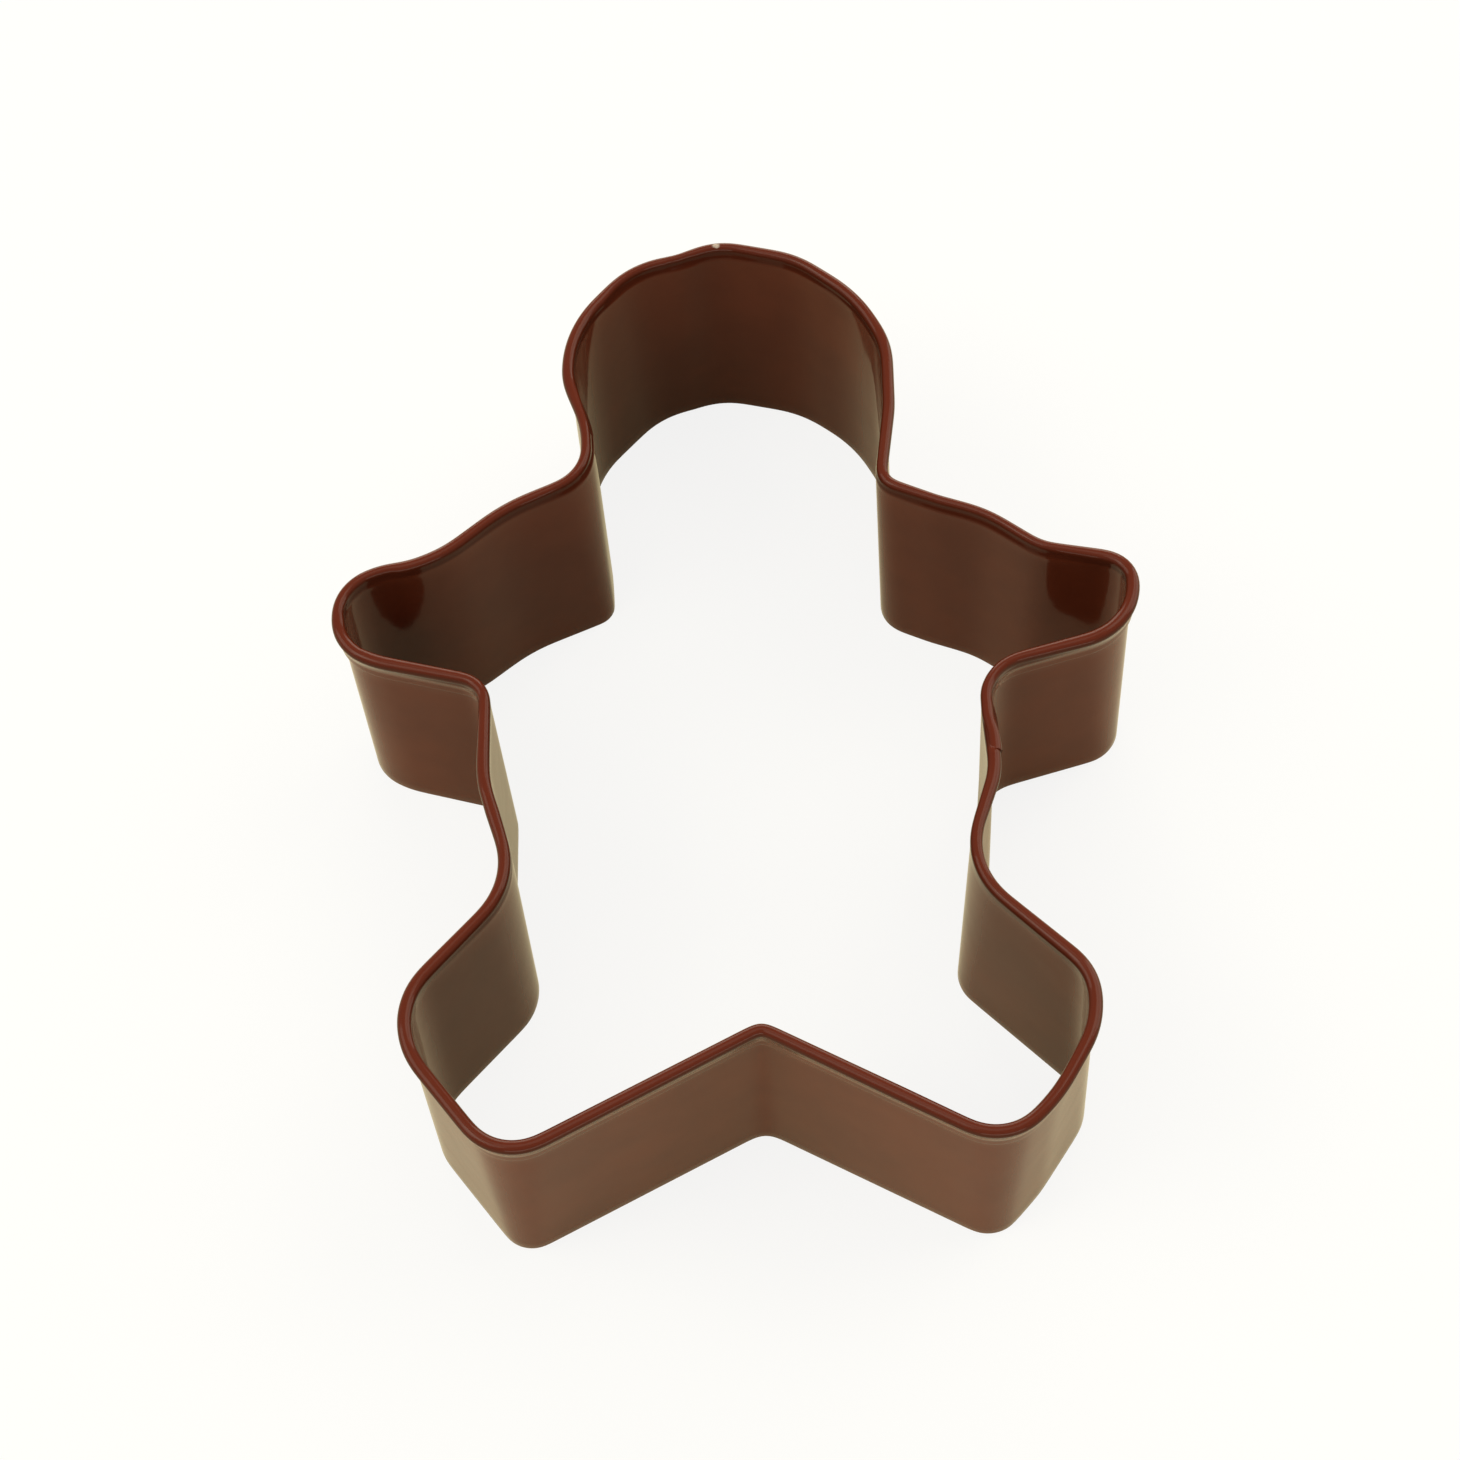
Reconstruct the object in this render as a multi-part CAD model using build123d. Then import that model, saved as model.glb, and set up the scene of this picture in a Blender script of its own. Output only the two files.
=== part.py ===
from build123d import *
import os
from math import acos, atan2, degrees, radians, sin, sqrt, tan

os.makedirs("parts", exist_ok=True)

# Overall size of the gingerbread-man outline, measured on the middle of the standing wall
outline_width = 72.96
outline_height = 93.4

# Finished depth, from the cutting edge to the top of the rolled bead
cutter_depth = 25.4

# Tinplate strip and the resin skin baked over all of it
strip_thickness = 0.25
coat_thickness = 0.12

# Rolled bead and hem at the top: the strip is curled over outwards, and its edge hangs down flat
# against the outside of the wall
bead_radius = 0.52
bead_offset = 0.32
neck_bend_radius = 0.45
hem_depth = 3.0
hem_gap = 0.10

# Where the hem ends, the skin runs down to the single wall in a soft S
soft_step_radius = 0.35
soft_step_rise = 0.10

# Lap at the figure's right waist: one end stands inside, the other is joggled out and lies over it.
# Under the hem the outer end leans in, so that the two walls meet where they are welded.
lap_length = 3.4
joggle_length = 1.8
lap_clearance = 0.03
crushed_bead_drop = 0.15
lean_end_below_hem = 1.4
lean_length = 6.0

# Spot welds that hold the lap
weld_diameter = 2.2
weld_count = 3
lowest_weld_height = 3.6
top_weld_below_lean = 3.0

# The straight stretch of the right waist, and the place on it where the strip's outer end stops
lap_side_share = 0.3061
lap_end_share = -0.1103

# Bends of the outline, from the right armpit anticlockwise round the figure to the right ribs:
# across and up from the centre as shares of the outline's width and height, and the bend's
# radius as a share of the width. A corner point lies outside its own bend.
bend_shares = {
    "right_armpit": (lap_side_share, -0.0161, 0.063),
    "right_palm": (0.5, 0.0246, 0.081),
    "right_fingertips": (0.5, 0.0961, 0.034),
    "right_wrist": (0.3899, 0.1138, 0.069),
    "right_upper_arm": (0.3217, 0.1561, 0.151),
    "right_shoulder": (0.2608, 0.1742, 0.206),
    "right_neck": (0.1867, 0.2021, 0.03),
    "right_cheek": (0.2042, 0.2944, 0.192),
    "right_ear": (0.2056, 0.3737, 0.123),
    "right_temple": (0.1679, 0.4347, 0.192),
    "right_brow": (0.0914, 0.4848, 0.117),
    "crown": (-0.0119, 0.5062, 0.082),
    "crown_dent": (-0.0644, 0.4884, 0.11),
    "left_brow": (-0.1199, 0.4828, 0.13),
    "left_temple": (-0.2083, 0.4049, 0.178),
    "left_ear": (-0.207, 0.3426, 0.104),
    "left_cheek": (-0.1816, 0.2869, 0.164),
    "left_neck": (-0.1823, 0.2232, 0.07),
    "left_shoulder": (-0.2888, 0.1875, 0.233),
    "left_forearm": (-0.3687, 0.1357, 0.164),
    "left_wrist": (-0.4126, 0.1218, 0.123),
    "left_knuckles": (-0.4571, 0.117, 0.096),
    "left_fingertips": (-0.5, 0.0969, 0.055),
    "left_hand_heel": (-0.4997, 0.0418, 0.058),
    "left_palm": (-0.4585, 0.0214, 0.11),
    "left_armpit": (-0.312, -0.0102, 0.041),
    "left_ribs": (-0.3125, -0.1221, 0.164),
    "left_waist": (-0.2686, -0.2329, 0.111),
    "left_knee": (-0.4002, -0.3437, 0.086),
    "left_calf": (-0.4002, -0.3967, 0.1),
    "left_toes": (-0.2913, -0.5105, 0.064),
    "crotch": (0.0178, -0.3882, 0.021),
    "right_toes": (0.2992, -0.5107, 0.064),
    "right_ankle": (0.3584, -0.463, 0.206),
    "right_calf": (0.4078, -0.3983, 0.115),
    "right_knee": (0.4078, -0.348, 0.07),
    "right_waist": (0.2663, -0.235, 0.107),
    "right_ribs": (lap_side_share, -0.1306, 0.11),
}
# Two neighbouring bends share at most this much of the straight run between their corners
bend_room_share = 0.99
# Ends of edges that lie closer than this share of the hem's gap already meet
meeting_share = 0.001

# Worked-out sizes of the strip's section
half_strip = strip_thickness / 2
skin_reach = half_strip + coat_thickness
steel_top = cutter_depth - coat_thickness
bead_curl = bead_radius - half_strip
bead_height = steel_top - bead_radius
flange_offset = strip_thickness + hem_gap
hem_end_height = cutter_depth - hem_depth
neck_to_bead = neck_bend_radius + bead_curl
wall_neck_run = neck_bend_radius + bead_offset
flange_neck_run = flange_offset + neck_bend_radius - bead_offset
wall_neck_drop = sqrt(neck_to_bead**2 - wall_neck_run**2)
flange_neck_drop = sqrt(neck_to_bead**2 - flange_neck_run**2)
wall_neck_turn = degrees(atan2(wall_neck_drop, wall_neck_run))
flange_neck_turn = degrees(atan2(flange_neck_drop, flange_neck_run))
soft_step_turn = degrees(acos(1 - flange_offset / (2 * soft_step_radius)))
soft_step_fall = 2 * soft_step_radius * sin(radians(soft_step_turn))
crushed_curl = flange_offset / 2
crushed_height = steel_top - crushed_bead_drop - crushed_curl - half_strip

# Outward steps of the strip's outer end over its inner end, at the wall and at the hem
lap_wall_offset = strip_thickness + lap_clearance
lap_hem_offset = flange_offset + lap_wall_offset
lean_end_height = hem_end_height - lean_end_below_hem
lean_start_height = lean_end_height - lean_length
weld_room = lean_start_height - top_weld_below_lean - lowest_weld_height
weld_pitch = weld_room / (weld_count - 1)

# Places along the straight right waist, all at one distance from the centre
lap_side = lap_side_share * outline_width
lap_end_y = lap_end_share * outline_height
lap_top_y = lap_end_y + lap_length
joggle_top_y = lap_top_y + joggle_length


def bend_radii(points, wanted):
    """Each bend's radius, cut back where two bends would need more than the run between them."""
    runs = [(after - before).length for before, after in zip(points, points[1:])]
    half_turns = []
    for before, corner, after in zip(points, points[1:], points[2:]):
        half_turns.append(tan(radians((corner - before).get_angle(after - corner)) / 2))
    reaches = [0] + [radius * half for radius, half in zip(wanted, half_turns)] + [0]
    rooms = [run * bend_room_share / (a + b) for run, a, b in zip(runs, reaches, reaches[1:])]
    return [radius * min(1, before, after) for radius, before, after in zip(wanted, rooms, rooms[1:])]


def outline_path():
    """The middle of the wall in plan, from the joggle's upper end anticlockwise to the lap's end."""
    corners = [(x * outline_width, y * outline_height) for x, y, radius in bend_shares.values()]
    points = [Vector(lap_side, joggle_top_y), *map(Vector, corners), Vector(lap_side, lap_end_y)]
    wanted = [radius * outline_width for x, y, radius in bend_shares.values()]
    return FilletPolyline(*points, radius=bend_radii(points, wanted)).wire()


def section_plane(along_y):
    """Upright plane across the right waist: its x points outwards, its y up, its normal to the feet."""
    return Plane(origin=(lap_side, along_y, 0), x_dir=(1, 0, 0), z_dir=(0, -1, 0))


def wall_side(wall, top, side, low, high):
    """Points up one side of the wall, which may lean from one offset to another part way up."""
    return [
        (wall + side, low),
        (wall + side, lean_start_height),
        (top + side, lean_end_height),
        (top + side, high),
    ]


def beaded_outside(wall, top, grown, low):
    """Edges up the wall's inner face, round the bead and down to the hem's end, grown by a skin."""
    neck_radius = neck_bend_radius - half_strip - grown
    wall_neck = (top - neck_bend_radius, bead_height - wall_neck_drop)
    flange_neck = (top + flange_offset + neck_bend_radius, bead_height - flange_neck_drop)
    bead = (top + bead_offset, bead_height)
    bead_start = 180 + wall_neck_turn
    bead_turn = -(bead_start + flange_neck_turn)
    flange_face = top + flange_offset + half_strip + grown
    hem_end = hem_end_height + (soft_step_rise if grown else 0)
    return [
        *Polyline(*wall_side(wall, top, -half_strip - grown, low, wall_neck[1])).edges(),
        CenterArc(wall_neck, neck_radius, 0, wall_neck_turn),
        CenterArc(bead, bead_radius + grown, bead_start, bead_turn),
        CenterArc(flange_neck, neck_radius, 180 - flange_neck_turn, flange_neck_turn),
        Line((flange_face, flange_neck[1]), (flange_face, hem_end)),
    ]


def beaded_inside(wall, top):
    """Edges from the hem's end up its hidden face, round the open curl and down the wall outside."""
    neck_radius = neck_bend_radius + half_strip
    wall_neck = (top - neck_bend_radius, bead_height - wall_neck_drop)
    flange_neck = (top + flange_offset + neck_bend_radius, bead_height - flange_neck_drop)
    bead = (top + bead_offset, bead_height)
    curl_turn = 180 + wall_neck_turn + flange_neck_turn
    hidden_face = top + flange_offset - half_strip
    return [
        Line((hidden_face, hem_end_height), (hidden_face, flange_neck[1])),
        CenterArc(flange_neck, neck_radius, 180, -flange_neck_turn),
        CenterArc(bead, bead_curl - half_strip, -flange_neck_turn, curl_turn),
        CenterArc(wall_neck, neck_radius, wall_neck_turn, -wall_neck_turn),
        *Polyline(*wall_side(wall, top, half_strip, coat_thickness, wall_neck[1])[::-1]).edges(),
    ]


def crushed_outside(grown, low):
    """The inner end's edges up the wall, over the crushed bead and down to the hem's end."""
    flange_face = flange_offset + half_strip + grown
    hem_end = hem_end_height + (soft_step_rise if grown else 0)
    return [
        *Polyline(*wall_side(0, 0, -half_strip - grown, low, crushed_height)).edges(),
        CenterArc((crushed_curl, crushed_height), crushed_curl + half_strip + grown, 180, -180),
        Line((flange_face, crushed_height), (flange_face, hem_end)),
    ]


def crushed_inside():
    """The inner end's edges up the hem's hidden face, round its tight fold and down the wall."""
    hidden_face = flange_offset - half_strip
    return [
        Line((hidden_face, hem_end_height), (hidden_face, crushed_height)),
        CenterArc((crushed_curl, crushed_height), crushed_curl - half_strip, 0, 180),
        *Polyline(*wall_side(0, 0, half_strip, coat_thickness, crushed_height)[::-1]).edges(),
    ]


def closed_face(edges):
    """A face whose outline runs along the edges, in their order, and back to the start."""
    links = []
    for edge, following in zip(edges, edges[1:] + edges[:1]):
        if ((edge @ 1) - (following @ 0)).length > hem_gap * meeting_share:
            links.append(Line(edge @ 1, following @ 0))
    return make_face([*edges, *links])


def steel_face(outside, inside):
    """The bent strip itself, open between the hem and the wall and inside the curl."""
    return closed_face([*outside, *inside])


def filled_face(outside, wall, top):
    """The strip with its curl and hem gap filled: the space that the skin closes round."""
    down = Polyline(*wall_side(wall, top, half_strip, coat_thickness, hem_end_height)[::-1]).edges()
    return closed_face([*outside, *down])


def skin_face(outside, wall, top):
    """The skin's outside: a soft S below the hem, and a rounded cutting edge."""
    hem_face = top + flange_offset + skin_reach
    step_top = hem_end_height + soft_step_rise
    step_end = step_top - soft_step_fall
    outer_face = top + skin_reach
    crest = (hem_face - soft_step_radius, step_top)
    hollow = (outer_face + soft_step_radius, step_end)
    down = [
        CenterArc(crest, soft_step_radius, 0, -soft_step_turn),
        CenterArc(hollow, soft_step_radius, 180 - soft_step_turn, soft_step_turn),
        *Polyline(*wall_side(wall, top, skin_reach, coat_thickness, step_end)[::-1]).edges(),
        CenterArc((wall + half_strip, coat_thickness), coat_thickness, 0, -90),
        Line((wall + half_strip, 0), (wall - half_strip, 0)),
        CenterArc((wall - half_strip, coat_thickness), coat_thickness, -90, -90),
    ]
    return closed_face([*outside, *down])


def interface_face():
    """The thin space between the two ends of the strip where they lap."""
    points = [
        (0, coat_thickness),
        (lap_wall_offset, coat_thickness),
        (lap_wall_offset, lean_start_height),
        (lap_hem_offset, lean_end_height),
        (lap_hem_offset, crushed_height),
        (0, crushed_height),
    ]
    return make_face(Polyline(*points, close=True).edges())


def along_lap(face, start_y, end_y):
    """A straight length of a section beside the lap, from one place to another towards the feet."""
    return extrude(section_plane(start_y) * face, amount=start_y - end_y)


def joggled(upper_face, lower_face):
    """The stretch where the section moves outwards to clear the strip's inner end."""
    sections = [section_plane(joggle_top_y) * upper_face, section_plane(lap_top_y) * lower_face]
    return loft(sections, ruled=True)


def around(face, path):
    """A section carried once round the outline."""
    return sweep(section_plane(joggle_top_y) * face, path=path)


def weld_stack():
    """Round welds through both layers of the lap, one above the other."""
    middle_y = (lap_end_y + lap_top_y) / 2
    axis = Plane(origin=(lap_side - half_strip, middle_y, lowest_weld_height), z_dir=(1, 0, 0))
    from_inner_face = (Align.CENTER, Align.CENTER, Align.MIN)
    weld = axis * Cylinder(weld_diameter / 2, lap_wall_offset + strip_thickness, align=from_inner_face)
    return [Pos(0, 0, weld_pitch * index) * weld for index in range(weld_count)]


def steel_strip(path, welds):
    """One strip, bent round the figure, hemmed at the top and lapped at the waist."""
    outer_outside = beaded_outside(lap_wall_offset, lap_hem_offset, 0, coat_thickness)
    main = steel_face(beaded_outside(0, 0, 0, coat_thickness), beaded_inside(0, 0))
    inner_end = steel_face(crushed_outside(0, coat_thickness), crushed_inside())
    outer_end = steel_face(outer_outside, beaded_inside(lap_wall_offset, lap_hem_offset))
    ends = [
        along_lap(inner_end, lap_top_y, lap_end_y),
        joggled(main, outer_end),
        along_lap(outer_end, lap_top_y, lap_end_y),
    ]
    return around(main, path) + ends - welds


def resin_coat(path):
    """The skin over the whole strip, with the strip's own shape as its inside."""
    main_outside = beaded_outside(0, 0, coat_thickness, coat_thickness)
    inner_outside = crushed_outside(coat_thickness, coat_thickness)
    outer_outside = beaded_outside(lap_wall_offset, lap_hem_offset, coat_thickness, coat_thickness)
    main_skin = skin_face(main_outside, 0, 0)
    inner_skin = skin_face(inner_outside, 0, 0)
    outer_skin = skin_face(outer_outside, lap_wall_offset, lap_hem_offset)
    lap_skins = [
        along_lap(inner_skin, lap_top_y + coat_thickness, lap_end_y),
        joggled(main_skin, outer_skin),
        along_lap(outer_skin, lap_top_y, lap_end_y - coat_thickness),
    ]

    steel_outside = beaded_outside(lap_wall_offset, lap_hem_offset, 0, coat_thickness)
    main_fill = filled_face(beaded_outside(0, 0, 0, coat_thickness), 0, 0)
    inner_fill = filled_face(crushed_outside(0, coat_thickness), 0, 0)
    outer_fill = filled_face(steel_outside, lap_wall_offset, lap_hem_offset)
    fillings = [
        around(main_fill, path),
        along_lap(inner_fill, lap_top_y, lap_end_y),
        joggled(main_fill, outer_fill),
        along_lap(outer_fill, lap_top_y, lap_end_y),
        along_lap(interface_face(), lap_top_y, lap_end_y),
    ]
    return around(main_skin, path) + lap_skins - fillings


path = outline_path()
welds = weld_stack()
strip = steel_strip(path, welds)
coat = resin_coat(path)

# The origin goes to the middle of the footprint, on the cutting edge
middle = coat.bounding_box().center()
to_origin = Pos(-middle.X, -middle.Y, 0)
nodes = {
    "steel_strip": strip,
    "spot_welds": Compound(welds),
    "resin_coat": coat,
}
for name, shape in nodes.items():
    export_step(to_origin * shape, f"parts/{name}.step")
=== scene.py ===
from math import acos, atan2, cos, pi, radians, sin, sqrt, tan

import bpy
from mathutils import Matrix, Vector


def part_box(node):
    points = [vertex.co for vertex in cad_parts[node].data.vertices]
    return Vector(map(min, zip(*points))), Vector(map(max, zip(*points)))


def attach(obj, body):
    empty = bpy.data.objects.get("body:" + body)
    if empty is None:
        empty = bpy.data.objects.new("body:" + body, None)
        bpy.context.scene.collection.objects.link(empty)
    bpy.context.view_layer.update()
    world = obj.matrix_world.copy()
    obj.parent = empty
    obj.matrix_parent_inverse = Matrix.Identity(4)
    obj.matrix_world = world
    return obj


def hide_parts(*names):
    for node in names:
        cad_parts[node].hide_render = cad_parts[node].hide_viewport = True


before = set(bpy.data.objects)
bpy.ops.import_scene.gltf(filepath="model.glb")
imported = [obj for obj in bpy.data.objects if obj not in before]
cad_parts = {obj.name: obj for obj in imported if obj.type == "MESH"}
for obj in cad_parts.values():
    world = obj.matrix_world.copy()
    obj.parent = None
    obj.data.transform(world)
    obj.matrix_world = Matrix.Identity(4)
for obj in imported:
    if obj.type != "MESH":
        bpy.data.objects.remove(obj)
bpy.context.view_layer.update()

# The line of the strip
# One strip of tinplate is bent by hand round a gingerbread-man pattern, so its line is a run of
# soft bends and short straights. It starts at the lap's outer end and stops at the inner end.
mm = 0.001
outline_width = 72.96 * mm
outline_height = 93.4 * mm
figure_middle = Vector((-0.005, -0.2)) * mm
coat_thickness = 0.12 * mm
lap_side_share = 0.3061
lap_end_share = -0.1103
lap_length = 3.4 * mm
joggle_length = 3.0 * mm
bend_room_share = 0.99
row_spacing = 0.4 * mm
fewest_arc_pieces = 6

# Each bend's place across and up as shares of the outline and its radius as a share of the width;
# then, at the cutting edge, how far the bend lies right of and above its place in the rim, in
# millimetres, and its radius as a share of the rim's; last, how much the bead is squeezed there, in
# millimetres, pressed in from the inside of the figure, or from the outside where it is negative
bend_shares = {
    "right_armpit": (lap_side_share, -0.0161, 0.063, 0.5, 0.2, 0.9, -0.2),
    "right_palm": (0.5, 0.0246, 0.081, 0.1, 0.15, 0.65, 0.0),
    "right_fingertips": (0.5, 0.0961, 0.034, 0.05, -0.05, 1.0, 0.05),
    "right_wrist": (0.3899, 0.1138, 0.069, -0.05, -0.2, 1.0, 0.25),
    "right_upper_arm": (0.3217, 0.1561, 0.151, -0.05, -0.2, 1.0, 0.3),
    "right_shoulder": (0.2608, 0.1742, 0.206, -0.05, -0.15, 1.0, 0.28),
    "right_neck": (0.1867, 0.2021, 0.03, 0.4, -0.4, 1.3, 0.15),
    "right_cheek": (0.2042, 0.2944, 0.192, 0.5, 0.0, 1.0, 0.1),
    "right_ear": (0.2056, 0.3737, 0.123, 0.35, -0.5, 1.0, 0.1),
    "right_temple": (0.1679, 0.4347, 0.192, 0.15, -0.4, 1.0, 0.1),
    "right_brow": (0.0914, 0.4848, 0.117, 0.35, -0.65, 1.3, 0.15),
    "crown": (-0.0119, 0.5062, 0.082, -0.35, -0.5, 1.3, 0.25),
    "crown_dent": (-0.0644, 0.4884, 0.11, 0.25, 0.15, 1.3, 0.35),
    "left_brow": (-0.1199, 0.4828, 0.13, 0.8, -0.25, 1.0, 0.28),
    "left_temple": (-0.2083, 0.4049, 0.178, 0.15, -0.8, 1.0, 0.1),
    "left_ear": (-0.207, 0.3426, 0.104, 0.0, 0.0, 1.0, 0.1),
    "left_cheek": (-0.1816, 0.2869, 0.164, 0.0, -0.5, 1.0, 0.28),
    "left_neck": (-0.1823, 0.2232, 0.07, 0.35, -0.45, 0.4, 0.25),
    "left_shoulder": (-0.2888, 0.1875, 0.233, -0.15, -0.55, 1.0, 0.15),
    "left_forearm": (-0.3687, 0.1357, 0.164, 0.1, -0.2, 1.0, 0.08),
    "left_wrist": (-0.4126, 0.1218, 0.123, 0.0, -0.1, 1.0, 0.08),
    "left_knuckles": (-0.4571, 0.117, 0.096, 0.0, -0.1, 1.0, 0.2),
    "left_fingertips": (-0.5, 0.0969, 0.055, 0.0, -0.1, 1.0, 0.15),
    "left_hand_heel": (-0.4997, 0.0418, 0.058, 0.1, -0.1, 1.0, 0.05),
    "left_palm": (-0.4585, 0.0214, 0.11, 0.05, -0.25, 1.0, 0.0),
    "left_armpit": (-0.312, -0.0102, 0.041, 0.15, -0.45, 0.75, -0.15),
    "left_ribs": (-0.3125, -0.1221, 0.164, 0.15, -0.7, 1.0, -0.05),
    "left_waist": (-0.2686, -0.2329, 0.111, -0.25, -0.65, 0.7, 0.1),
    "left_knee": (-0.4002, -0.3437, 0.086, -0.05, -0.5, 1.2, 0.0),
    "left_calf": (-0.4002, -0.3967, 0.1, -0.05, 0.3, 1.0, 0.0),
    "left_toes": (-0.2913, -0.5105, 0.064, -0.2, 0.5, 0.6, 0.0),
    "crotch": (0.0178, -0.3882, 0.021, -0.4, 0.4, 1.6, -0.1),
    "right_toes": (0.2992, -0.5107, 0.064, -0.25, 0.3, 0.67, 0.05),
    "right_ankle": (0.3584, -0.463, 0.206, -0.5, 0.35, 1.0, 0.05),
    "right_calf": (0.4078, -0.3983, 0.115, 0.5, 1.0, 1.0, 0.0),
    "right_knee": (0.4078, -0.348, 0.07, 0.55, -0.5, 1.0, 0.0),
    "right_waist": (0.2663, -0.235, 0.107, -0.25, 0.2, 0.45, -0.15),
    "right_ribs": (0.3101, -0.1306, 0.11, 0.4, 0.0, 1.0, 0.0),
}


def eased_radii(points, wanted):
    """Each bend's radius, cut back where two bends would need more than the run between them."""
    runs = [(after - before).length for before, after in zip(points, points[1:])]
    half_turns = []
    for before, corner, after in zip(points, points[1:], points[2:]):
        half_turns.append(tan((corner - before).angle(after - corner) / 2))
    reaches = [0] + [radius * half for radius, half in zip(wanted, half_turns)] + [0]
    rooms = [run * bend_room_share / (a + b) for run, a, b in zip(runs, reaches, reaches[1:])]
    return [radius * min(1, before, after) for radius, before, after in zip(wanted, rooms, rooms[1:])]


def rounded_line(corners, radii, arc_pieces, run_pieces):
    """Points along straight runs and round each corner's arc, in the given numbers of pieces."""
    points = [corners[0]]
    for before, corner, after, radius, arcs, runs in zip(
        corners, corners[1:], corners[2:], radii, arc_pieces, run_pieces
    ):
        into = (corner - before).normalized()
        out_of = (after - corner).normalized()
        turn = into.angle(out_of)
        reach = radius * tan(turn / 2)
        first = corner - into * reach
        last = corner + out_of * reach
        points += [points[-1].lerp(first, index / runs) for index in range(1, runs)]
        centre = corner + (out_of - into).normalized() * radius / cos(turn / 2)
        for index in range(arcs + 1):
            share = index / arcs
            spoke = (first - centre) * sin((1 - share) * turn) + (last - centre) * sin(share * turn)
            points.append(centre + spoke / sin(turn))
    last, last_runs = points[-1], run_pieces[-1]
    return points + [last.lerp(corners[-1], index / last_runs) for index in range(1, last_runs + 1)]


def piece_counts(corners, radii):
    """How many pieces each arc and each straight run is cut into, for rows an even way apart."""
    reaches = [0]
    arc_pieces = []
    for before, corner, after, radius in zip(corners, corners[1:], corners[2:], radii):
        turn = (corner - before).angle(after - corner)
        reaches.append(radius * tan(turn / 2))
        arc_pieces.append(max(fewest_arc_pieces, round(radius * turn / row_spacing)))
    reaches.append(0)
    run_pieces = []
    for before, after, low, high in zip(corners, corners[1:], reaches, reaches[1:]):
        run_pieces.append(max(1, round(((after - before).length - low - high) / row_spacing)))
    return arc_pieces, run_pieces


def squeezes_along(squeezes, arc_pieces, run_pieces):
    """The bead's squeeze at each point: even round a bend and changing evenly between two bends."""
    along = [0]
    for before, here, arcs, runs in zip([0] + squeezes, squeezes, arc_pieces, run_pieces):
        along += [before + (here - before) * index / runs for index in range(1, runs)]
        along += [here] * (arcs + 1)
    last, last_runs = squeezes[-1], run_pieces[-1]
    return along + [last * (1 - index / last_runs) for index in range(1, last_runs + 1)]


def edge_line(name, points, closed=False):
    """An object that is only a line of edges through the points."""
    edges = [(index, index + 1) for index in range(len(points) - 1)]
    if closed:
        edges.append((len(points) - 1, 0))
    mesh = bpy.data.meshes.new(name)
    mesh.from_pydata([(point[0], point[1], 0) for point in points], edges, [])
    line = bpy.data.objects.new(name, mesh)
    bpy.context.collection.objects.link(line)
    return line


def strip_line(name, end_reach):
    """The strip's line at the rim, with the way to the cutting edge's line and the bead's squeeze."""
    side = lap_side_share * outline_width
    lap_end = lap_end_share * outline_height
    start = Vector((side, lap_end - end_reach)) + figure_middle
    end = Vector((side, lap_end + lap_length + end_reach)) + figure_middle
    rim, rim_wanted = [start], []
    foot, foot_wanted = [start], []
    squeezes = []
    for x, y, radius, foot_right, foot_up, foot_radius, squeeze in bend_shares.values():
        corner = Vector((x * outline_width, y * outline_height)) + figure_middle
        rim.append(corner)
        rim_wanted.append(radius * outline_width)
        foot.append(corner + Vector((foot_right, foot_up)) * mm)
        foot_wanted.append(radius * foot_radius * outline_width)
        squeezes.append(squeeze * mm)
    rim.append(end)
    foot.append(end)
    rim_radii = eased_radii(rim, rim_wanted)
    counts = piece_counts(rim, rim_radii)
    rim_points = rounded_line(rim, rim_radii, *counts)
    foot_points = rounded_line(foot, eased_radii(foot, foot_wanted), *counts)
    line = edge_line(name, rim_points)
    shifts = line.data.attributes.new("foot_shift", "FLOAT_VECTOR", "POINT")
    for place, (above, below) in zip(shifts.data, zip(rim_points, foot_points)):
        place.vector = (below - above).to_3d()
    bead_squeeze = line.data.attributes.new("bead_squeeze", "FLOAT", "POINT")
    for place, squeeze in zip(bead_squeeze.data, squeezes_along(squeezes, *counts)):
        place.value = squeeze
    return line


# The section of the strip and of its coat
# The top edge is curled outwards into a bead, and the rest of it hangs down against the wall as a
# hem. The baked coat fills the bead's necks, rounds the cutting edge and runs off the hem in a soft S.
steel_thickness = 0.25 * mm
cutter_depth = 25.4 * mm
bead_radius = 0.52 * mm
bead_offset = 0.32 * mm
neck_bend_radius = 0.45 * mm
hem_depth = 3.0 * mm
hem_gap = 0.10 * mm
soft_step_radius = 0.35 * mm
soft_step_rise = 0.10 * mm
inner_fill = 0.07 * mm
outer_fill = 0.30 * mm
fill_hollow = 1.4
wall_piece_height = 1.2 * mm
fillet_pieces = 12
bead_pieces = 28
curl_inside_pieces = 20
neck_pieces = 4
soft_step_pieces = 5
edge_pieces = 4

half_strip = steel_thickness / 2
bead_curl = bead_radius - half_strip
bead_height = cutter_depth - coat_thickness - bead_radius
flange_offset = steel_thickness + hem_gap
hem_end_height = cutter_depth - hem_depth
neck_to_bead = neck_bend_radius + bead_curl
wall_neck_run = neck_bend_radius + bead_offset
flange_neck_run = flange_offset + neck_bend_radius - bead_offset
wall_neck_drop = sqrt(neck_to_bead**2 - wall_neck_run**2)
flange_neck_drop = sqrt(neck_to_bead**2 - flange_neck_run**2)
wall_neck = (-neck_bend_radius, bead_height - wall_neck_drop)
flange_neck = (flange_offset + neck_bend_radius, bead_height - flange_neck_drop)
wall_neck_turn = atan2(wall_neck_drop, wall_neck_run)
flange_neck_turn = atan2(flange_neck_drop, flange_neck_run)
full_turn = radians(360)
half_turn = radians(180)
quarter_turn = radians(90)


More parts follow.
